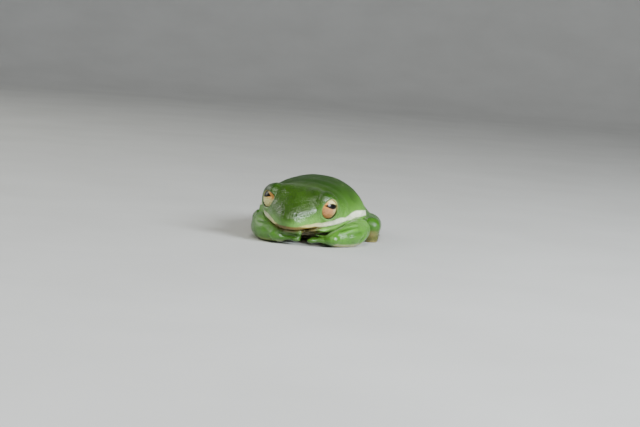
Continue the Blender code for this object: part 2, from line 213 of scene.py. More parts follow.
FOLD_WIDTH = 0.28  # of the crease that is left where a limb lies against the body
FOLD_REACH = 1.0  # there is no crease farther than this from both


def crease_between(one, other):
    """1 where two fields meet, and 0 away from there."""
    return hump(one - other, 0, FOLD_WIDTH) * (np.minimum(one, other) < FOLD_REACH)


KERNEL_REACH = 2.6  # of a blur, in sigmas


def softened(field, sigma):
    """field blurred by a Gaussian of that many millimetres."""
    reach = int(math.ceil(KERNEL_REACH * sigma / SPACING))
    weights = np.exp(-0.5 * (np.arange(reach + 1) * SPACING / sigma) ** 2)
    weights /= weights[0] + 2 * weights[1:].sum()
    for axis in range(3):
        pads = [(reach, reach) if i == axis else (0, 0) for i in range(3)]
        wide = np.moveaxis(np.pad(field, pads, mode="edge"), axis, 0)
        length = field.shape[axis]
        total = np.float32(weights[0]) * wide[reach : reach + length]
        for k in range(1, reach + 1):
            pair = wide[reach - k : reach - k + length] + wide[reach + k : reach + k + length]
            total += np.float32(weights[k]) * pair
        field = np.moveaxis(total, 0, axis)
    return np.ascontiguousarray(field)


def rising(x, start, end):
    """0 before start, 1 past end and smooth between them."""
    t = np.clip((x - start) / (end - start), 0, 1)
    return t * t * (3 - 2 * t)


def falling(x, start, end):
    """1 before start and 0 past end."""
    return 1 - rising(x, start, end)


def hump(x, middle, width):
    """1 at the middle, falling off smoothly over the width on both sides."""
    return np.exp(-(((x - middle) / width) ** 2))


# ---------------- frames on the head


def turn_of_head():
    """The matrix from the head's frame to the world's."""
    turn = Matrix.Rotation(math.radians(-HEAD_YAW), 3, "Z")
    nod = Matrix.Rotation(math.radians(HEAD_PITCH), 3, "X")
    lean = Matrix.Rotation(math.radians(HEAD_ROLL), 3, "Y")
    return np.array(turn @ nod @ lean)


def box_middle(node):
    """The middle of a CAD node's box, in millimetres."""
    low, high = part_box(node)
    return (np.array(low) + np.array(high)) / 2 / MM


HEAD_TURN = turn_of_head()
EYE_BOXES = {side: box_middle("eye_" + side) for side in SIDES}
BETWEEN_EYES = (EYE_BOXES["left"] + EYE_BOXES["right"]) / 2
NECK = BETWEEN_EYES - HEAD_TURN @ np.array(BETWEEN_EYES_IN_HEAD)


def in_head(grid):
    """(left, ahead, up) in the head's own frame of grid points or an array of points."""
    left, behind, up = (along(axis, NECK, grid) for axis in HEAD_TURN.T)
    return left, -behind, up


def gaze_axes(side):
    """Unit vectors of an eye: towards the back of the head, up, and out along its gaze."""
    bearing = math.radians(GAZE_OUT) * SIDES[side]
    gaze = np.array((math.sin(bearing), -math.cos(bearing), math.tan(math.radians(GAZE_UP))))
    gaze = HEAD_TURN @ (gaze / np.linalg.norm(gaze))
    back = np.cross(HEAD_TURN @ np.array((0, 0, 1.0)), gaze) * SIDES[side]
    back /= np.linalg.norm(back)
    up = np.cross(gaze, back) * SIDES[side]
    return back, up, gaze


EYES = {side: EYE_BOXES[side] - EYE_SUNK[side] * gaze_axes(side)[2] for side in SIDES}


def lid_opening(side, grid):
    """Three distances: outside the opening's edge, out along the gaze, and from the eye's middle."""
    back, up, gaze = (along(axis, EYES[side], grid) for axis in gaze_axes(side))
    u, v = back - LID_MIDDLE[side][0], up - LID_MIDDLE[side][1]
    across = u * math.cos(LID_LEAN) - v * math.sin(LID_LEAN)
    tall = u * math.sin(LID_LEAN) + v * math.cos(LID_LEAN)
    tall = tall / LID_HALF_HEIGHT[side]
    across = across / LID_HALF_WIDTH[side] * (1 + LID_TAPER * tall)
    edge = (np.sqrt(across**2 + tall**2) - 1) * LID_HALF_WIDTH[side]
    return edge, gaze, np.sqrt(back**2 + up**2 + gaze**2)


def block_round_eyes(margin):
    """The part of the grid that holds both eyes' middles and a margin round them."""
    low, high = np.minimum(*EYES.values()), np.maximum(*EYES.values())
    return block_around(low - margin, high + margin, 0)


# ---------------- growing the skin

TORSO_BLEND, LIMB_BLEND, ROOT_BLEND = 0.7, 0.75, 0.55  # how widely nodes grow into each other
LID_THICKNESS = 0.55  # of the mound round an eye
LID_SLIMMING = 0.3  # of that mound towards the snout


def grown_body():
    """The fields of all the flesh: (as one, the creases where limbs touch the body, by node)."""
    nodes = {name: solid_field(name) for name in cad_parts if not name.startswith("eye_")}
    nodes["hand_left"] = flattened_hand(*nodes["hand_left"])
    flesh_out(nodes)
    field = np.full(SHAPE, BAND, np.float32)
    folds = np.zeros(SHAPE, np.float32)
    for name in ("trunk", "head", "lower_jaw"):
        merge(field, *nodes[name], TORSO_BLEND)
    for side in SIDES:
        block = block_around(EYES[side], EYES[side], EYE_RADIUS + 2)
        away = lid_opening(side, grid_points(block))[2]
        towards_snout = -along(gaze_axes(side)[0], EYES[side], grid_points(block))
        mound = away - EYE_RADIUS - LID_THICKNESS
        mound = mound + LID_SLIMMING * rising(towards_snout, 0.5, 2.2)
        merge(field, block, np.clip(mound, -BAND, BAND), TORSO_BLEND)
    for parts in LIMBS.values():
        for side in SIDES:
            limb = np.full(SHAPE, BAND, np.float32)
            for part in parts:
                merge(limb, *nodes[f"{part}_{side}"], LIMB_BLEND)
            folds = np.maximum(folds, crease_between(field, limb))
            merge(field, EVERYWHERE, limb, ROOT_BLEND)
    return field, folds, nodes


# Flesh that fills out the limbs: a node, the two ends of a round-ended rod and its radius.
# The ends count outwards and backwards from the front inner corner of the node's box, and up
# from the floor.
FLESH_BLEND = 0.5
FLESH = (
    ("forearm_right", (3.4, 2.5, 2.5), (0.2, 0.5, 1.9), 1.35),
    ("hand_right", (3.8, 1.3, 2.6), (0.4, 0.5, 2.45), 0.66),
    ("shank_left", (5.1, 2.3, 3.2), (5.1, 2.7, 0.9), 1.6),
    ("shank_right", (3.1, 2.3, 2.9), (3.1, 2.7, 0.9), 1.6),
)


def from_corner(node, points):
    """Points counted outwards, backwards and up from the front inner corner of a limb's box."""
    side = SIDES[node.split("_")[-1]]
    low, high = (np.array(corner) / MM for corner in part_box(node))
    corner = np.array((low[0] if side > 0 else high[0], low[1], FLOOR))
    return corner + np.array(points) * (side, 1, 1)


def flesh_out(nodes):
    for name, start, end, radius in FLESH:
        block, field = nodes[name]
        rod = from_corner(name, (start, end))
        away = distance_to_line(listed_points(block), rod)[0] - radius
        away = away.reshape(field.shape).astype(np.float32)
        nodes[name] = (block, blended(field, away, FLESH_BLEND))


HAND_LOWERED = 0.3  # how far the left hand is pressed down, clear of the jaw


def flattened_hand(block, field):
    x, _, z = grid_points(block)
    return block, field + HAND_LOWERED * rising(z, 0.9, 2.0) * falling(x, 3.2, 5.6)


def nearest_of(nodes, names):
    """The field of several nodes together, with no blend."""
    found = np.full(SHAPE, BAND, np.float32)
    for name in names:
        block, field = nodes[name]
        found[block] = np.minimum(found[block], field)
    return found


FINE_BLUR, MIDDLING_BLUR, WIDE_BLUR = 0.17, 0.42, 1.25
DIGITS_GROWN, ALL_GROWN = 0.03, 0.04  # gives back what blurring takes off
# How far the hollows beside the eyes and at the wrists are filled, as a share of what a wide blur fills
BROW_FILL, WRIST_FILL = 1.3, 1.0


def softened_body(field, nodes):
    """Blurred most over the plain back, least over the fingers and toes."""
    digits = nearest_of(nodes, [n for n in nodes if n.startswith(("hand", "foot"))])
    limbs = nearest_of(nodes, [n for n in nodes if n not in ("trunk", "head")])
    left, ahead, up = in_head(grid_points(EVERYWHERE))
    fine = falling(digits, 0.2, 1.1)
    crown = rising(up, 3.2, 4.6) * falling(np.abs(left), 4.0, 5.6)
    crown = crown * falling(ahead, 9, 11)
    back_or_crown = np.maximum(falling(ahead, 1.5, 4.5), crown)
    plain = rising(limbs, 0.8, 1.4) * back_or_crown * (1 - fine)
    middling = softened(field, MIDDLING_BLUR)
    wide = softened(field, WIDE_BLUR)
    soft = fine * (softened(field, FINE_BLUR) - DIGITS_GROWN)
    soft = soft + plain * wide + (1 - fine - plain) * middling
    brow = rising(up, 1.2, 2.6) * rising(ahead, 2.5, 4.5)
    brow = brow * falling(ahead, 10.5, 12.5)
    brow = brow * falling(np.abs(left), 5.8, 7.0)
    hands = nearest_of(nodes, ("hand_left", "hand_right"))
    forearms = nearest_of(nodes, ("forearm_left", "forearm_right"))
    wrist = falling(hands, 0.4, 1.3) * falling(forearms, 0.4, 1.3)
    filled = (BROW_FILL * brow + WRIST_FILL * wrist) * np.minimum(wide - soft, 0)
    return soft + filled - ALL_GROWN


MOUTH_LINE = -0.16  # height of the lips' edge in front, in the head's frame
MOUTH_RISE = 0.32  # of that edge towards both corners
JAW_TUCK = 0.26  # of the lower jaw in under the upper lip
JAW_BULGE = 0.45  # of the lower jaw beyond the lip, at the sides
LIP_GROOVE, LIP_SWELL = 0.22, 0.10


def mouth_line(left):
    return MOUTH_LINE + MOUTH_RISE * rising(np.abs(left), 0.8, 4.5)


def carve_mouth(field, nodes):
    """The lips: a fine groove, with the lower jaw tucked in under the upper lip."""
    arms = nearest_of(nodes, [n for n in nodes if n.startswith(LIMBS["arm"])])
    block = block_round_eyes(12)
    left, ahead, up = in_head(grid_points(block))
    from_arms = arms[block]
    gape = rising(ahead, JAW_CORNER - 1.2, JAW_CORNER + 1.0) * rising(from_arms, 0.0, 0.4)
    below = mouth_line(left) - up
    tuck = JAW_TUCK * rising(below, -0.10, 0.12) * falling(below, 0.5, 2.0)
    sideways = rising(np.abs(left), 2.6, 5.2)
    bulge = JAW_BULGE * sideways * hump(below, 0.8, 0.55) * rising(from_arms, 0.35, 1.1)
    tuck = tuck * (1 - sideways) - bulge
    groove = LIP_GROOVE * hump(below, 0.05, 0.17)
    lip = -LIP_SWELL * hump(below, -0.42, 0.34)
    field[block] += gape * (tuck + groove + lip)


LID_THINNED, LID_RIM = 0.16, 0.05  # the lids thin towards their rims, which stand up a little
LID_ROUNDING = 0.22  # of the opening's edge
BOWL_DEPTH = 0.35  # how far inside the globe's surface the skin behind it lies
SOCKET_FRONT = 0.4  # how far out along the gaze the opening starts


def carve_eyes(field):
    for side in SIDES:
        block = block_around(EYES[side], EYES[side], EYE_RADIUS + 2.5)
        edge, out, away = lid_opening(side, grid_points(block))
        here = field[block]
        ahead_of_eye = rising(out, 0.2, 1.0)
        here = here + LID_THINNED * hump(edge, 0.0, 0.55) * ahead_of_eye
        here = here - LID_RIM * hump(edge, 0.42, 0.16) * ahead_of_eye
        bowl = EYE_RADIUS - BOWL_DEPTH - away
        opening = np.maximum(np.maximum(edge, bowl), SOCKET_FRONT - out)
        field[block] = -blended(-here, opening, LID_ROUNDING)


CROWN_RISE, DIP_FILL = 0.32, 0.24
CHEEK_AT, CHEEK_WIDTH, CHEEK_RISE = (3.7, 11.0, 3.3), 1.5, 0.32


def fill_crown(field):
    """The crown runs on level to the brows, with only a shallow dip inside each, and full cheeks."""
    block = block_round_eyes(5)
    left, ahead, up = in_head(grid_points(block))
    rise = CROWN_RISE * hump(left, 0, 2.8) * hump(ahead, 5.5, 4.0)
    dip = DIP_FILL * hump(np.abs(left), 2.9, 1.4) * hump(ahead, 6.5, 3.2)
    field[block] -= (rise + dip) * rising(up, 3.0, 5.0)
    sideways, forwards, upwards = CHEEK_AT
    away = (np.abs(left) - sideways) ** 2 + (ahead - forwards) ** 2 + (up - upwards) ** 2
    field[block] -= CHEEK_RISE * np.exp(-away / CHEEK_WIDTH**2)


def line_fade(share):
    """1 along the middle of a line, and 0 at both ends."""
    return rising(share, 0, 0.3) * falling(share, 0.7, 1)


def press_line(field, line, depth, width):
    """Presses a groove along a polyline into the field, or raises a ridge where depth is negative."""
    line = np.array(line)
    block = block_around(line.min(0), line.max(0), 3 * width)
    away, share = distance_to_line(listed_points(block), line)
    pressed = depth * line_fade(share) * hump(away, 0, width)
    field[block] += pressed.reshape(field[block].shape)


# Between the right hand's fingers, and out along its wrist
FINGER_SPLIT = (
    ((1.0, -0.7, 2.45), (0.4, -1.0, 2.2), (-0.6, -0.8, 2.0))
    + ((-1.6, -0.7, 1.95), (-3.6, -1.0, 1.9), (-5.3, -0.8, 1.85))
)
# Folds of skin: the line each one follows, its depth (below 0 for a ridge) and its width.
# On an arm a line counts outwards and backwards from the front inner corner of the forearm's
# box, and up from the floor. On the nape it counts from the neck.
ARM_FOLDS = {
    "left": (
        (((1.7, 1.5, 3.4), (2.5, 3.4, 4.0), (3.4, 4.9, 4.4), (4.5, 5.5, 4.75), (5.6, 6.3, 4.8)), 0.36, 0.30),
        (((1.9, 0.7, 3.0), (2.9, 1.9, 3.6), (4.0, 3.0, 4.0), (5.1, 4.1, 4.2), (6.1, 5.6, 4.3)), 0.36, 0.30),
        (((1.9, 0.3, 2.7), (3.2, 1.3, 3.1), (4.7, 2.7, 3.5), (6.1, 4.6, 3.8)), -0.28, 0.34),
        (((3.6, 1.3, 2.5), (4.3, 1.9, 2.6), (5.3, 2.8, 2.8), (6.8, 5.5, 3.35)), 0.22, 0.34),
        (((5.9, 4.3, 0.9), (6.5, 4.8, 1.5), (7.0, 5.5, 2.1), (7.3, 6.4, 2.9)), 0.30, 0.30),
    ),
    "right": (
        (((5.6, 4.6, 3.9), (4.6, 3.4, 3.95), (3.7, 2.7, 3.85), (2.8, 2.2, 3.6)), 0.18, 0.36),
        (FINGER_SPLIT, 0.55, 0.30),
    ),
}
FOLD_SHADE_AND_HIGHLIGHT = 1.2  # painted shade and highlight: how much darker a fold is for each unit of its depth, and how much lighter a ridge of negative depth is
NAPE_FOLD = ((-1.2, -6.1, 5.6), (-0.8, -3.5, 6.1), (-0.4, -0.7, 6.4))
NAPE_DEPTH, NAPE_WIDTH = 0.10, 0.65


def press_folds(field):
    for side, folds in ARM_FOLDS.items():
        for line, depth, width in folds:
            press_line(field, from_corner("forearm_" + side, line), depth, width)
    press_line(field, NECK + np.array(NAPE_FOLD), NAPE_DEPTH, NAPE_WIDTH)


EARDRUM = (2.5, 2.2)  # ahead and up in the head's frame
EARDRUM_RADIUS = 0.95
EARDRUM_SUNK, EARDRUM_RIM, EARDRUM_ARCH = 0.07, 0.05, 0.10


def carve_eardrums(field):
    """A round drum behind each eye, with the fold that arches over it."""
    low = NECK - np.array((11.0, 8.0, 2.0))
    high = NECK + np.array((11.0, 3.0, 8.0))
    block = block_around(low, high, 0)
    left, ahead, up = in_head(grid_points(block))
    outer = rising(np.abs(left), 5.5, 6.5)
    away = np.sqrt((ahead - EARDRUM[0]) ** 2 + (up - EARDRUM[1]) ** 2)
    rim = hump(away, EARDRUM_RADIUS, 0.16)
    drum = falling(away, EARDRUM_RADIUS - 0.35, EARDRUM_RADIUS - 0.05)
    arch = hump(away, EARDRUM_RADIUS + 0.75, 0.28) * rising(up - 0.6 * ahead, 0.2, 1.2)
    field[block] += outer * (EARDRUM_SUNK * drum - EARDRUM_RIM * rim - EARDRUM_ARCH * arch)


NOSTRIL = (1.3, 13.15, 3.0)  # left, ahead and up in the head's frame
NOSTRIL_STRETCH = (0.8, 1.1)  # of its oval, sideways and ahead
NOSTRIL_DEPTH, NOSTRIL_RIM = 0.34, 0.03


def carve_nostrils(field):
    for sign in SIDES.values():
        middle = NECK + HEAD_TURN @ np.array((sign * NOSTRIL[0], -NOSTRIL[1], NOSTRIL[2]))
        block = block_around(middle, middle, 1.5)
        left, ahead, up = in_head(grid_points(block))
        sideways = (left - sign * NOSTRIL[0]) / NOSTRIL_STRETCH[0]
        forwards = (ahead - NOSTRIL[1]) / NOSTRIL_STRETCH[1]
        away = np.sqrt(sideways**2 + forwards**2 + (up - NOSTRIL[2]) ** 2)
        field[block] += NOSTRIL_DEPTH * hump(away, 0, 0.22) - NOSTRIL_RIM * hump(away, 0.5, 0.25)


# ---------------- meshing the field


def surface_of(field):
    """(vertices, quads) of the field's zero surface, one vertex to a crossed cell."""
    corners = np.array(CORNERS)
    inside = field < 0
    count = sum(
        inside[i : i + SHAPE[0] - 1, j : j + SHAPE[1] - 1, k : k + SHAPE[2] - 1].astype(np.int8)
        for i, j, k in CORNERS
    )
    cells = np.argwhere((count > 0) & (count < 8))
    numbers = np.full(np.array(SHAPE) - 1, -1, np.int32)
    numbers[tuple(cells.T)] = np.arange(len(cells))
    values = np.stack([field[tuple((cells + step).T)] for step in corners], axis=1)
    total = np.zeros((len(cells), 3))
    hits = np.zeros(len(cells))
    for a in range(8):
        for b in range(a + 1, 8):
            if np.abs(corners[a] - corners[b]).sum() != 1:
                continue
            va, vb = values[:, a], values[:, b]
            crossed = (va < 0) != (vb < 0)
            share = np.where(crossed, va / np.where(crossed, va - vb, 1), 0)
            spot = corners[a] + share[:, None] * (corners[b] - corners[a])
            total += np.where(crossed[:, None], spot, 0)
            hits += crossed
    points = ORIGIN + SPACING * (cells + total / hits[:, None])

    quads = []
    for axis in range(3):
        one, two = (axis + 1) % 3, (axis + 2) % 3
        near = np.moveaxis(inside, (axis, one, two), (0, 1, 2))
        cell = np.moveaxis(numbers, (axis, one, two), (0, 1, 2))
        crossed = near[:-1] != near[1:]
        i, j, k = np.nonzero(crossed[:, 1:-1, 1:-1])
        j, k = j + 1, k + 1
        ring = (cell[i, j - 1, k - 1], cell[i, j, k - 1], cell[i, j, k], cell[i, j - 1, k])
        ring = np.stack(ring, axis=1)
        outward = near[i, j, k]
        ring[~outward] = ring[~outward][:, ::-1]
        quads.append(ring)
    return points, np.concatenate(quads)


def corner_weights(share):
    """Each corner of a cell with its weight at a place that lies at that share along the cell."""
    for corner in CORNERS:
        x, y, z = np.where(corner, share, 1 - share).T
        yield corner, x * y * z


def sampled(field, points, start=(0, 0, 0)):
    """field at points, linear between grid points. start is the first grid point of a partial field."""
    place = (points - ORIGIN) / SPACING - np.array(start)
    base = np.clip(np.floor(place).astype(int), 0, np.array(field.shape) - 2)
    value = 0
    for corner, weight in corner_weights(np.clip(place - base, 0, 1)):
        value = value + weight * field[tuple((base + corner).T)]
    return value


def slopes(field, points):
    """Gradient of the field at points."""
    step = 0.75 * SPACING
    found = []
    for axis in range(3):
        offset = np.zeros(3)
        offset[axis] = step
        found.append((sampled(field, points + offset) - sampled(field, points - offset)) / (2 * step))
    return np.stack(found, axis=1)


def links_of(quads, count):
    """Every edge of the quads once, as two arrays of vertex numbers."""
    edges = np.sort(np.concatenate([quads[:, [i, (i + 1) % 4]] for i in range(4)]), axis=1)
    keys = np.unique(edges[:, 0].astype(np.int64) * count + edges[:, 1])
    return keys // count, keys % count


def averaged(points, links):
    """The middle of every vertex's neighbours."""
    a, b = links
    count = len(points)
    number = np.bincount(a, minlength=count) + np.bincount(b, minlength=count)
    totals = [np.bincount(a, x[b], count) + np.bincount(b, x[a], count) for x in points.T]
    return np.stack(totals, axis=1) / number[:, None]


def normals_of(points, quads):
    """Unit normals at the vertices, pointing out."""
    one = points[quads[:, 2]] - points[quads[:, 0]]
    two = points[quads[:, 3]] - points[quads[:, 1]]
    faces = np.cross(one, two)
    total = np.zeros_like(points)
    for corner in range(4):
        for axis in range(3):
            total[:, axis] += np.bincount(quads[:, corner], faces[:, axis], len(points))
    return total / np.maximum(np.linalg.norm(total, axis=1, keepdims=True), TINY)


FITTING_ROUNDS = 3
FLATTEST_SLOPE = 0.05  # squared, below which the field says nothing about distance


def fitted(points, quads, field):
    """Evens out the mesh while keeping it on the field's surface."""
    links = links_of(quads, len(points))
    for _ in range(FITTING_ROUNDS):
        points = points + 0.5 * (averaged(points, links) - points)
        slope = slopes(field, points)
        size = np.maximum((slope**2).sum(1), FLATTEST_SLOPE)
        shift = np.clip(sampled(field, points) / size, -SPACING, SPACING)
        points = points - slope * shift[:, None]
    return points


# ---------------- noise and lines on the surface

NOISE_CELLS = 32  # of the noise before it repeats, along each axis


def lattice_noise(points, size, seed):
    """Smooth noise from -1 to 1 with lumps of about that size."""
    table = np.random.default_rng(seed).random((NOISE_CELLS,) * 3) * 2 - 1
    place = points / size + 100.0
    base = np.floor(place).astype(int)
    share = place - base
    value = 0
    for corner, weight in corner_weights(share * share * (3 - 2 * share)):
        value = value + weight * table[tuple(((base + corner) % NOISE_CELLS).T)]
    return value


def distance_to_line(points, line):
    """(distance, share along the line) of points from a polyline."""
    line = np.array(line, float)
    lengths = np.linalg.norm(np.diff(line, axis=0), axis=1)
    starts = np.concatenate([[0], np.cumsum(lengths)])
    best = np.full(len(points), np.inf)
    share = np.zeros(len(points))
    for a, b, length, start in zip(line, line[1:], lengths, starts):
        t = np.clip((points - a) @ (b - a) / length**2, 0, 1)
        away = np.linalg.norm(points - a - t[:, None] * (b - a), axis=1)
        closer = away < best
        best = np.where(closer, away, best)
        share = np.where(closer, (start + t * length) / starts[-1], share)
    return best, share


# ---------------- colours, linear light

BACK_GREEN = (0.03, 0.09, 0.004)
CROWN_GREEN = (0.032, 0.08, 0.004)
# painted shade: a darker green along the top of the back
SHADED_TOP_GREEN = (0.016, 0.056, 0.001)
# painted light: a lighter green for the low sides and the tops of the arms
LIT_SIDE_GREEN = (0.15, 0.37, 0.055)
LIMB_GREEN = (0.08, 0.25, 0.02)
LEG_GREEN = (0.048, 0.16, 0.01)
# painted shade: a darker green for the inner hands, under the chin
SHADED_HAND_GREEN = (0.04, 0.12, 0.008)
KNEE_OLIVE = (0.105, 0.078, 0.02)
# the chin's own brown, darkened with painted shade under the lip
CHIN_BROWN_AND_SHADE = (0.13, 0.08, 0.028)
# painted light: a lighter green for the left side of the lower jaw
LIT_JAW_GREEN = (0.2, 0.43, 0.08)
ARM_EDGE = (0.52, 0.52, 0.24)
SPECK = (0.3, 0.42, 0.16)
BELLY = (0.64, 0.6, 0.42)
THROAT = (0.56, 0.47, 0.33)
HIDDEN_SKIN = (0.33, 0.27, 0.09)
STRIPE_WHITE = (0.86, 0.89, 0.64)
STRIPE_YELLOW = (0.58, 0.54, 0.12)
STRIPE_GOLD = (0.15, 0.095, 0.014)
RIM_YELLOW = (0.55, 0.48, 0.18)
# the lids' dark margin and painted shade: along the lower lids, inside the eye openings and round the
# globes' edges
DARK_RIM_AND_SHADE = (0.012, 0.012, 0.01)
PUPIL_BLACK = (0.002, 0.002, 0.002)


def layered(colours, *layers):
    """colours under layers of (another colour, its share at every vertex)."""
    for colour, share in layers:
        share = np.clip(share, 0, 1)[:, None]
        colours = colours * (1 - share) + np.array(colour) * share
    return colours


SHARE_WIDTH = 0.12  # over which one node's colours run into the next one's


def node_shares(points, nodes):
    """How much each CAD node carries each point, summing to 1."""
    names = list(nodes)
    distances = []
    for name in names:
        block, field = nodes[name]
        start = np.array([part.start for part in block])
        place = (points - ORIGIN) / SPACING - start
        inside = np.all((place > 0) & (place < np.array(field.shape) - 1), axis=1)
        away = np.full(len(points), BAND)
        away[inside] = sampled(field, points[inside], start)
        distances.append(away)
    distances = np.array(distances)
    weights = np.exp(-(distances - distances.min(0)) / SHARE_WIDTH)
    weights /= weights.sum(0)
    return dict(zip(names, weights))


class Spots:
    """What the colours go by, at every vertex of the skin."""

    def __init__(self, points, normals, nodes):
        self.points = points
        self.shares = node_shares(points, nodes)
        self.arm, self.leg = (
            sum(share for name, share in self.shares.items() if name.startswith(parts))
            for parts in LIMBS.values()
        )
        self.limb = self.arm + self.leg
        self.left, self.ahead, self.up = in_head(points.T)
        self.over_lip = self.up - mouth_line(self.left)
        self.jaw = self.shares["lower_jaw"] + self.shares["head"]
        self.jaw = self.jaw * falling(self.over_lip, -0.06, 0.02)
        self.jaw = self.jaw * rising(self.ahead, -1.0, 1.0)
        self.behind = points[:, 1] - NECK[1]
        self.height = points[:, 2] - FLOOR
        self.down = -normals[:, 2]
        self.broad = lattice_noise(points, 3.5, 1)
        self.fine = lattice_noise(points, 0.9, 2)


def green_parts(at):
    """Dark on the crown and the back under painted shade, light on the sides and the arms' tops with painted
    light, with the limbs, painted shade on the inner hands and painted shade and highlight along the arms'
    folds.
    """
    crown = rising(at.ahead, -2, 3) * rising(at.up + 1.7 * hump(at.left, 0, 2.6), 1.5, 4.5)
    crown = crown * falling(np.abs(at.left), 3.5, 6.5)
    # painted shade: the top of the back darker
    ridge = rising(at.height + 0.4 * at.broad, 9.5, 12.0)
    # painted light: the low sides lighter
    lit_low_side = falling(at.height + 0.5 * at.broad, 4.5, 10.5)
    colours = layered(
        np.tile(BACK_GREEN, (len(at.points), 1)),
        (CROWN_GREEN, 0.85 * crown),
        (SHADED_TOP_GREEN, (1 - crown) * ridge),
        (LIT_SIDE_GREEN, 0.95 * lit_low_side * (1 - crown)),
        (LIMB_GREEN, at.arm),
        # painted light: the tops of the arms lighter
        (LIT_SIDE_GREEN, 0.8 * at.arm * rising(at.height, 3.2, 4.8)),
        (LEG_GREEN, at.leg),
    )
    for side, sign in SIDES.items():
        outwards = sign * (at.points[:, 0] - from_corner("hand_" + side, (0, 0, 0))[0])
        on_hand = at.shares["hand_" + side] + at.shares["forearm_" + side]
        # painted shade darkens the inner hands, under the chin
        colours = layered(colours, (SHADED_HAND_GREEN, 0.85 * on_hand * falling(outwards, 2.8, 6.2)))
        for line, depth, width in ARM_FOLDS[side]:
            away, share = distance_to_line(at.points, from_corner("forearm_" + side, line))
            # painted shade along the grooves, painted highlight along the ridges
            shade = FOLD_SHADE_AND_HIGHLIGHT * depth * line_fade(share) * hump(away, 0, width)
            colours = colours * (1 - shade)[:, None]
    low_leg = falling(at.height + 0.3 * at.broad, 1.2, 3.4)
    return layered(colours, (KNEE_OLIVE, 0.75 * at.leg * low_leg))


def with_underside(colours, at):
    """The lower jaw and all that faces the floor, with painted light on the jaw's left side and the chin's
    brown darkened with painted shade.
    """
    chin = rising(at.left, -6.5, -4.0) * falling(at.left, 4.6, 6.2)
    forearm = at.shares["forearm_left"] + 0.5 * at.shares["forearm_right"]
    edge = rising(at.down, 0.55, 0.85) * (at.height < 1.6)
    return layered(
        colours,
        # painted light on the jaw's left side
        (LIT_JAW_GREEN, at.jaw * rising(at.left, 4.0, 5.5)),
        # the chin's brown, darkened with painted shade
        (CHIN_BROWN_AND_SHADE, 0.9 * at.jaw * chin),
        (THROAT, at.jaw * rising(at.down, 0.85, 0.99)),
        (HIDDEN_SKIN, at.leg * rising(at.down, 0.2, 0.7)),
        (ARM_EDGE, forearm * edge),
        (BELLY, at.shares["trunk"] * rising(at.down, 0.15, 0.6)),
    )


LIP_TIP = 14.3  # ahead of the neck
# Behind the tip of the lip, below 0 on the right side: the stripe's height, how high its lower edge
# is gold and how white the rest is
STRIPE_AT = (-13.0, -8.0, -5.0, -2.0, -0.6, 0.0, 1.2, 2.3, 3.6, 4.9, 6.3, 8.0, 9.9, 12.3, 14.0)
STRIPE_THICK = (1.05, 1.5, 1.3, 0.9, 0.8, 0.9, 0.9, 1.0, 1.1, 1.12, 1.45, 1.25, 1.3, 0.85, 0.75)
STRIPE_GOLDEN = (-1, -1, -0.5, 0.2, 0.9, 1.3, 0.85, 0.45, 0.40, 0.15, -0.2, -0.5, -1, -1, -1)
STRIPE_WHITENED = (1.0, 0.85, 0.70, 0.25, 0, 0, 0, 0.10, 0.25, 0.55, 0.95, 1, 1, 1, 1)


def lip_stripe(at):
    """(colours of the pale stripe on the upper lip, how much of it each vertex has)."""
    past_tip = np.where(at.left > 0, 1, -1) * (LIP_TIP - at.ahead)
    thick = np.interp(past_tip, STRIPE_AT, STRIPE_THICK)
    edge = at.over_lip + 0.10 * at.fine + 0.05 * at.broad
    on_lip = rising(edge, -0.12, 0.0) * falling(edge, thick - 0.10, thick + 0.10)
    on_lip = on_lip * (1 - at.limb) * rising(at.ahead, JAW_CORNER - 2.5, JAW_CORNER - 0.5)
    gold = np.interp(past_tip, STRIPE_AT, STRIPE_GOLDEN) + 0.08 * at.broad
    tone = layered(
        np.tile(STRIPE_YELLOW, (len(at.points), 1)),
        (STRIPE_WHITE, np.interp(past_tip, STRIPE_AT, STRIPE_WHITENED)),
        (STRIPE_GOLD, falling(edge, gold - 0.15, gold + 0.15)),
    )
    return tone, on_lip


# Behind the neck: the height of the flank's stripe and its half width
FLANK_AT = (-6.2, -5.2, -3.6, -2.2, -0.2, 2.3, 5.8, 8.3, 12.8, 18.8, 23.8, 25.8)
FLANK_HEIGHT = (5.0, 5.0, 5.2, 5.35, 5.5, 5.85, 5.8, 5.6, 5.3, 5.2, 4.9, 4.6)
FLANK_HALF = (-0.3, 0.35, 0.4, 0.5, 0.74, 0.60, 0.52, 0.45, 0.35, 0.26, 0.14, -0.3)
RIGHT_RISE = 0.8  # of the stripe's front end on the right, where the leaning head lifts the lip


def flank_stripe(at):
    """How much of the white stripe along its flank each vertex has."""
    middle = np.interp(at.behind, FLANK_AT, FLANK_HEIGHT)
    on_right = at.points[:, 0] < NECK[0]
    middle = middle + RIGHT_RISE * on_right * falling(at.behind, 1.5, 9.0)
    half = np.interp(at.behind, FLANK_AT, FLANK_HALF) + 0.10 * at.fine + 0.06 * at.broad
    on_flank = falling(np.abs(at.height - middle), half - 0.12, half + 0.12)
    return on_flank * (half > 0.05) * (1 - at.limb) * (1 - at.jaw)


def with_eye_rims(colours, at):
    """Yellow along the upper lids; dark along the lower ones, the lids' dark margin deepened with painted
    shade, and painted shade on the skin inside the openings.
    """
    for side in SIDES:
        edge, out, away = lid_opening(side, at.points.T)
        near = hump(edge, 0.02, 0.13) * (out > 0.3) * (away < EYE_RADIUS + 1.2)
        above = along(gaze_axes(side)[1], EYES[side], at.points.T)
        colours = layered(
            colours,
            (RIM_YELLOW, 0.9 * near * rising(above, -0.8, 0.6)),
            # painted shade on the skin inside the opening
            (DARK_RIM_AND_SHADE, (edge < -0.02) * (out > 0.3) * (away < EYE_RADIUS + 0.1)),
            # the lower lid's dark margin, deepened with painted shade
            (DARK_RIM_AND_SHADE, 0.8 * near * rising(-above, 0.2, 1.2)),
        )
    return colours


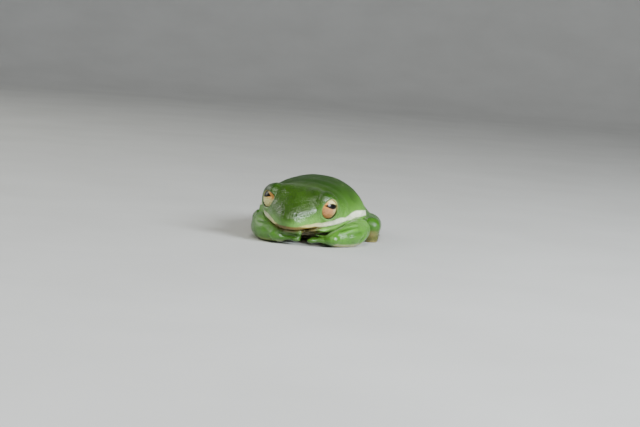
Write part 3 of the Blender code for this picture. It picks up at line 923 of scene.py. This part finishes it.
# Pale specks on the back: sideways and backwards from the neck, and the size of each
SPECKS = (
    (0.0, 5.2, 0.28),
    (-4.9, 5.2, 0.24),
    (3.8, 11.3, 0.30),
    (-2.7, 13.8, 0.20),
    (5.9, 6.4, 0.22),
    (-4.6, 9.6, 0.16),
    (-4.1, 10.3, 0.20),
    (1.6, 20.2, 0.22),
)
SPECKS_ABOVE = 8  # the height that keeps them off the flanks


def skin_colours(points, normals, nodes):
    """(colour, wetness) of every vertex."""
    at = Spots(points, normals, nodes)
    colours = with_underside(green_parts(at), at)
    tone, on_lip = lip_stripe(at)
    colours = colours * (1 - on_lip[:, None]) + tone * on_lip[:, None]
    colours = layered(colours, (STRIPE_WHITE, flank_stripe(at) * (1 - on_lip)))
    colours = with_eye_rims(colours, at)
    for sideways, backwards, size in SPECKS:
        away = np.hypot(points[:, 0] - NECK[0] - sideways, at.behind - backwards)
        shown = 0.8 * hump(away, 0, size) * (at.height > SPECKS_ABOVE)
        colours = layered(colours, (SPECK, shown))
    wet = np.clip(0.2 + 0.8 * rising(at.ahead, 2, 7) + 0.55 * at.limb, 0, 1)
    return colours, wet


# ---------------- materials


class Nodes:
    """A material's node tree, built by name."""

    def __init__(self, name):
        self.material = bpy.data.materials.new(name)
        self.material.use_nodes = True
        self.tree = self.material.node_tree
        self.shader = self.tree.nodes["Principled BSDF"]

    def add(self, kind, inputs=(), **settings):
        node = self.tree.nodes.new(kind)
        for key, value in settings.items():
            setattr(node, key, value)
        for key, value in dict(inputs).items():
            if isinstance(value, bpy.types.NodeSocket):
                self.tree.links.new(value, node.inputs[key])
            else:
                node.inputs[key].default_value = value
        return node

    def ramp(self, value, low, high, start=0.0, end=1.0):
        """value carried from the range start to end onto the range low to high."""
        found = self.add(
            "ShaderNodeMapRange",
            {"Value": value, "From Min": start, "From Max": end, "To Min": low, "To Max": high},
            clamp=True,
        )
        return found.outputs["Result"]

    def calculated(self, operation, a, b):
        return self.add("ShaderNodeMath", {0: a, 1: b}, operation=operation).outputs[0]

    def attribute(self, name, output):
        return self.add("ShaderNodeAttribute", attribute_name=name).outputs[output]

    def noise(self, place, scale, **more):
        inputs = {"Vector": place, "Scale": scale, **more}
        return self.add("ShaderNodeTexNoise", inputs).outputs["Fac"]

    def times(self, colour, shade):
        made = self.add("ShaderNodeVectorMath", {0: colour, 1: shade}, operation="MULTIPLY")
        return made.outputs[0]

    def bump(self, strength, depth, height):
        inputs = {"Strength": strength, "Distance": depth, "Height": height}
        return self.add("ShaderNodeBump", inputs).outputs["Normal"]

    def set(self, **values):
        for key, value in values.items():
            socket = self.shader.inputs[key.replace("_", " ")]
            if isinstance(value, bpy.types.NodeSocket):
                self.tree.links.new(value, socket)
            else:
                socket.default_value = value


# How many cells, blotches, grains, fibres and mottles go to a metre
CELL_SCALE, BLOTCH_SCALE, GRAIN_SCALE = 3600, 420, 5200
FIBRE_SCALE, MOTTLE_SCALE = 4200, 30
NOISE_SPAN = (0.3, 0.7)  # the values that noise mostly keeps within
CELL_BUMP, FIBRE_BUMP = 0.00009, 0.00002  # depth in metres
DRY_ROUGHNESS, WET_ROUGHNESS = 0.46, 0.19
DRY_SHINE, WET_SHINE = 0.06, 0.62


def skin_material():
    """Granular skin in the tint of each vertex, glossier and more pebbled where it is wet."""
    made = Nodes("frog_skin")
    place = made.add("ShaderNodeTexCoord").outputs["Object"]
    tint = made.attribute("tint", "Color")
    wet = made.attribute("wet", "Fac")
    cell_inputs = {"Vector": place, "Scale": CELL_SCALE, "Randomness": 0.9}
    cells = made.add("ShaderNodeTexVoronoi", cell_inputs, feature="F1").outputs["Distance"]
    blotches = made.noise(place, BLOTCH_SCALE, Detail=4, Roughness=0.6)
    grain = made.noise(place, GRAIN_SCALE, Detail=2)
    blotched = made.ramp(blotches, 0.80, 1.20, *NOISE_SPAN)
    shade = made.calculated("MULTIPLY", blotched, made.ramp(grain, 0.94, 1.06, *NOISE_SPAN))
    # painted shade in the grooves between the granules, lighter on their tops
    shade = made.calculated("MULTIPLY", shade, made.ramp(cells, 1.06, 0.86, 0.1, 0.7))
    rounded = made.calculated("SUBTRACT", 1.0, made.calculated("POWER", cells, 1.6))
    height = made.calculated("MULTIPLY", rounded, made.ramp(wet, 0.5, 1.0))
    uneven = made.ramp(blotches, -0.05, 0.05, *NOISE_SPAN)
    gloss = made.calculated("ADD", uneven, made.ramp(wet, DRY_ROUGHNESS, WET_ROUGHNESS))
    made.set(Base_Color=made.times(tint, shade), Roughness=gloss)
    made.set(Normal=made.bump(0.7, CELL_BUMP, height))
    made.set(Specular_IOR_Level=made.ramp(wet, DRY_SHINE, WET_SHINE))
    return made.material


def eye_material():
    """A fibrous iris in the tint of each vertex, under a thin clear coat."""
    made = Nodes("frog_eye")
    place = made.add("ShaderNodeTexCoord").outputs["Object"]
    tint = made.attribute("tint", "Color")
    fibres = made.noise(place, FIBRE_SCALE, Detail=3, Roughness=0.7)
    made.set(Base_Color=made.times(tint, made.ramp(fibres, 0.72, 1.22, *NOISE_SPAN)))
    made.set(Roughness=made.ramp(fibres, 0.22, 0.34, *NOISE_SPAN), Specular_IOR_Level=0.15)
    made.set(Normal=made.bump(0.15, FIBRE_BUMP, fibres))
    made.set(Coat_Weight=0.28, Coat_Roughness=0.03)
    return made.material


FLOOR_DARK, FLOOR_LIGHT = (0.60, 0.585, 0.565, 1), (0.64, 0.625, 0.605, 1)


def floor_material():
    made = Nodes("pale_floor")
    place = made.add("ShaderNodeTexCoord").outputs["Object"]
    mottle = made.ramp(made.noise(place, MOTTLE_SCALE, Detail=5), 0, 1, 0.35, 0.65)
    colour = made.add("ShaderNodeMix", {"Factor": mottle}, data_type="RGBA")
    colour.inputs["A"].default_value = FLOOR_DARK
    colour.inputs["B"].default_value = FLOOR_LIGHT
    made.set(Base_Color=colour.outputs["Result"], Roughness=0.75)
    return made.material


# ---------------- pieces


def mesh_piece(name, points, faces, material, replaced, colours, wet):
    """Adds one piece of the visual model, with its tint and wetness at every vertex."""
    mesh = bpy.data.meshes.new(name)
    mesh.from_pydata((points * MM).tolist(), [], faces)
    mesh.shade_smooth()
    rows = np.concatenate([colours, np.ones((len(colours), 1))], axis=1).astype(np.float32)
    mesh.attributes.new("tint", "FLOAT_COLOR", "POINT").data.foreach_set("color", rows.ravel())
    mesh.attributes.new("wet", "FLOAT", "POINT").data.foreach_set("value", wet.astype(np.float32))
    mesh.materials.append(material)
    made = bpy.data.objects.new(name, mesh)
    bpy.context.scene.collection.objects.link(made)
    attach(made, "root")
    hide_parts(*replaced)


FOLD_DEPTH, FOLD_BLUR = 0.22, 0.15  # of the creases where the limbs touch the body
LUMPS = ((0.05, 2.6, 3), (0.025, 1.1, 4))  # height, size and seed


def skin_piece():
    field, folds, nodes = grown_body()
    field = softened_body(field, nodes)
    field += FOLD_DEPTH * softened(folds, FOLD_BLUR)
    fill_crown(field)
    carve_mouth(field, nodes)
    carve_eyes(field)
    carve_nostrils(field)
    carve_eardrums(field)
    press_folds(field)
    field = np.maximum(field, (FLOOR - AXES[2]).astype(np.float32)[None, None, :])
    points, quads = surface_of(field)
    points = fitted(points, quads, field)
    normals = normals_of(points, quads)
    lumps = sum(height * lattice_noise(points, size, seed) for height, size, seed in LUMPS)
    off_floor = rising(points[:, 2], 0.1, 1.2)
    points = points + normals * (lumps * off_floor)[:, None]
    points[:, 2] = np.maximum(points[:, 2], FLOOR)
    normals = normals_of(points, quads)
    colours, wet = skin_colours(points, normals, nodes)
    mesh_piece("skin", points, quads.tolist(), skin_material(), nodes, colours, wet)


CORNEA_BULGE = 0.3
PUPIL_HALF_LENGTH = 1.6
PUPIL_HALF_HEIGHT = {"left": 0.54, "right": 0.66}
PUPIL_MIDDLE = {"left": (0.25, 0.46), "right": (0.0, 0.78)}
PUPIL_LEAN = {"left": 0.14, "right": 0.0}  # rise of its front end
IRIS_TOP = (0.8, 0.7, 0.3)
IRIS_FRONT = (0.66, 0.27, 0.05)
# the right eye's lower iris: its own pale yellow, lightened with painted light against the shade it lies in
IRIS_LOW_WITH_PAINTED_LIGHT = {"left": (0.50, 0.23, 0.085), "right": (0.80, 0.75, 0.30)}
IRIS_BACK = (0.6, 0.48, 0.22)
VEINS_LOW, VEINS_TOP = 0.22, 0.10  # how strongly the veins show


def globe():
    """(points, faces) of an eye about its middle, along the axes back, up and out."""
    rings, segments = ((120, 160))
    theta = np.linspace(0, math.pi, rings + 1)[1:-1]
    phi = np.linspace(0, 2 * math.pi, segments, endpoint=False)
    theta, phi = np.meshgrid(theta, phi, indexing="ij")
    radius = EYE_RADIUS + CORNEA_BULGE * falling(theta, 0.2, 1.15)
    back = (radius * np.sin(theta) * np.cos(phi)).ravel()
    up = (radius * np.sin(theta) * np.sin(phi)).ravel()
    out = (radius * np.cos(theta)).ravel()
    tips = np.array([(0, 0, EYE_RADIUS + CORNEA_BULGE), (0, 0, -EYE_RADIUS)])
    points = np.concatenate([np.stack([back, up, out], axis=1), tips])
    number = np.arange((rings - 1) * segments).reshape(rings - 1, segments)
    after = np.roll(number, -1, axis=1)
    quads = np.stack([number[:-1], after[:-1], after[1:], number[1:]], axis=-1)
    front, rear = number.size, number.size + 1
    faces = quads.reshape(-1, 4).tolist()
    faces += [(front, int(after[0, i]), int(number[0, i])) for i in range(segments)]
    faces += [(rear, int(number[-1, i]), int(after[-1, i])) for i in range(segments)]
    return points, faces


def iris_colours(side, u, v):
    """The iris and its pupil at points u back from the eye's middle and v up from it."""
    middle = PUPIL_MIDDLE[side]
    beside = u - middle[0]
    over = v - middle[1] + PUPIL_LEAN[side] * beside
    colours = layered(
        np.tile(IRIS_LOW_WITH_PAINTED_LIGHT[side], (len(u), 1)),
        (IRIS_BACK, 0.8 * rising(u, 0.0, 1.3)),
        (IRIS_TOP, rising(over + 0.45 * beside, -0.1, 0.7)),
        (IRIS_FRONT, 0.85 * (rising(-u, 0.1, 1.2) * rising(over, -1.0, 0.0))),
    )
    angle = np.arctan2(over, beside)
    veins = np.sin(angle * 31 + 3 * np.sin(angle * 7)) * np.sin(angle * 47 + 1.3)
    veins = veins * rising(np.hypot(beside, over), 0.3, 1.0)
    colours = colours * (1 + np.where(over < 0, VEINS_LOW, VEINS_TOP) * veins)[:, None]
    across = beside / PUPIL_HALF_LENGTH
    fullness = np.where(across < 0, 1.4, 3.0)  # the pupil is pointed in front and blunt behind
    height = PUPIL_HALF_HEIGHT[side] * np.clip(1 - np.abs(across) ** fullness, 0, 1)
    pupil = (np.abs(across) < 1) * rising(height - np.abs(over), -0.04, 0.04)
    # the eye's dark rim, with painted shade where the globe goes under the lids
    socket = rising(np.hypot(u, v * 0.95), 2.05, 2.3)
    return layered(colours, (PUPIL_BLACK, pupil), (DARK_RIM_AND_SHADE, socket))


def eye_piece(side, material):
    local, faces = globe()
    points = EYES[side] + local @ np.array(gaze_axes(side))
    if SIDES[side] > 0:
        faces = [face[::-1] for face in faces]
    colours = iris_colours(side, local[:, 0], local[:, 1])
    wet = np.ones(len(points))
    mesh_piece(f"eye_{side}_globe", points, faces, material, ["eye_" + side], colours, wet)


# ---------------- stage

CAMERA_BEARING, CAMERA_HEIGHT, CAMERA_ROLL = 6.0, 6.0, 4.3
CAMERA_DISTANCE = 0.3556
CAMERA_LENS = 100
AIM_RIGHT, AIM_DOWN = 0.0041, 0.0021  # of the middle between the eyes


def direction(bearing, height):
    """Unit vector at a bearing from the frog's front towards its left, and a height in degrees."""
    a, e = math.radians(bearing), math.radians(height)
    return Vector((math.sin(a) * math.cos(e), -math.cos(a) * math.cos(e), math.sin(e)))


def placed(name, data, back, distance, roll=0.0):
    """Adds an object that looks at the eyes from that direction and distance."""
    made = bpy.data.objects.new(name, data)
    bpy.context.scene.collection.objects.link(made)
    turn = (-back).to_track_quat("-Z", "Y")
    made.rotation_mode = "QUATERNION"
    made.rotation_quaternion = turn @ Matrix.Rotation(math.radians(roll), 3, "Z").to_quaternion()
    made.location = Vector(BETWEEN_EYES * MM) + back * distance
    return made


def add_camera():
    data = bpy.data.cameras.new("camera")
    data.lens = CAMERA_LENS
    data.sensor_width = 36
    data.clip_start = 0.001
    back = direction(CAMERA_BEARING, CAMERA_HEIGHT)
    camera = placed("camera", data, back, CAMERA_DISTANCE, CAMERA_ROLL)
    camera.location += camera.rotation_quaternion @ Vector((AIM_RIGHT, -AIM_DOWN, 0))
    bpy.context.scene.camera = camera


# The floor is flat out to one radius, bends up over a quarter circle and ends in a wall
FLAT_RADIUS, BEND_RADIUS, WALL_TOP = 0.6, 0.3, 0.8
FLOOR_SEGMENTS, BEND_STEPS = 96, 12


def add_floor():
    """A floor that sweeps up into a wall all round, far from the frog."""
    profile = [(FLAT_RADIUS / 2, 0), (FLAT_RADIUS, 0)]
    for angle in np.linspace(0, math.pi / 2, BEND_STEPS + 1)[1:]:
        out, up = BEND_RADIUS * math.sin(angle), BEND_RADIUS - BEND_RADIUS * math.cos(angle)
        profile.append((FLAT_RADIUS + out, up))
    profile.append((FLAT_RADIUS + BEND_RADIUS, WALL_TOP))
    points, faces = [(0, 0, 0)], []
    for radius, height in profile:
        for k in range(FLOOR_SEGMENTS):
            angle = 2 * math.pi * k / FLOOR_SEGMENTS
            points.append((radius * math.cos(angle), radius * math.sin(angle), height))
    for k in range(FLOOR_SEGMENTS):
        after = (k + 1) % FLOOR_SEGMENTS
        faces.append((0, 1 + k, 1 + after))
        for ring in range(len(profile) - 1):
            a, b = 1 + ring * FLOOR_SEGMENTS, 1 + (ring + 1) * FLOOR_SEGMENTS
            faces.append((a + k, b + k, b + after, a + after))
    mesh = bpy.data.meshes.new("floor")
    mesh.from_pydata(points, [], faces)
    mesh.shade_smooth()
    mesh.materials.append(floor_material())
    floor = bpy.data.objects.new("floor", mesh)
    floor.location.z = CAD_LOW.z
    bpy.context.scene.collection.objects.link(floor)


# Soft square lights: name, bearing, height, distance, size, power and colour
LIGHTS = (
    ("key", 58, 27, 0.45, 0.18, 3.8, (0.86, 0.95, 1.0)),
    ("top", 4, 54, 0.55, 0.22, 1.5, (1.0, 0.98, 0.95)),
    ("side", -112, 30, 0.5, 0.3, 0.85, (0.97, 1.0, 0.88)),
)
WORLD_COLOUR, WORLD_STRENGTH = (0.80, 0.88, 1.0, 1), 0.14


def add_lights():
    for name, bearing, height, distance, size, power, colour in LIGHTS:
        data = bpy.data.lights.new(name, "AREA")
        data.energy = power
        data.size = size
        data.color = colour
        placed(name, data, direction(bearing, height), distance)
    world = bpy.data.worlds.new("studio")
    world.use_nodes = True
    background = world.node_tree.nodes["Background"]
    background.inputs["Color"].default_value = WORLD_COLOUR
    background.inputs["Strength"].default_value = WORLD_STRENGTH
    bpy.context.scene.world = world


skin_piece()
globe_material = eye_material()
for eye_side in SIDES:
    eye_piece(eye_side, globe_material)
add_floor()
add_camera()
add_lights()
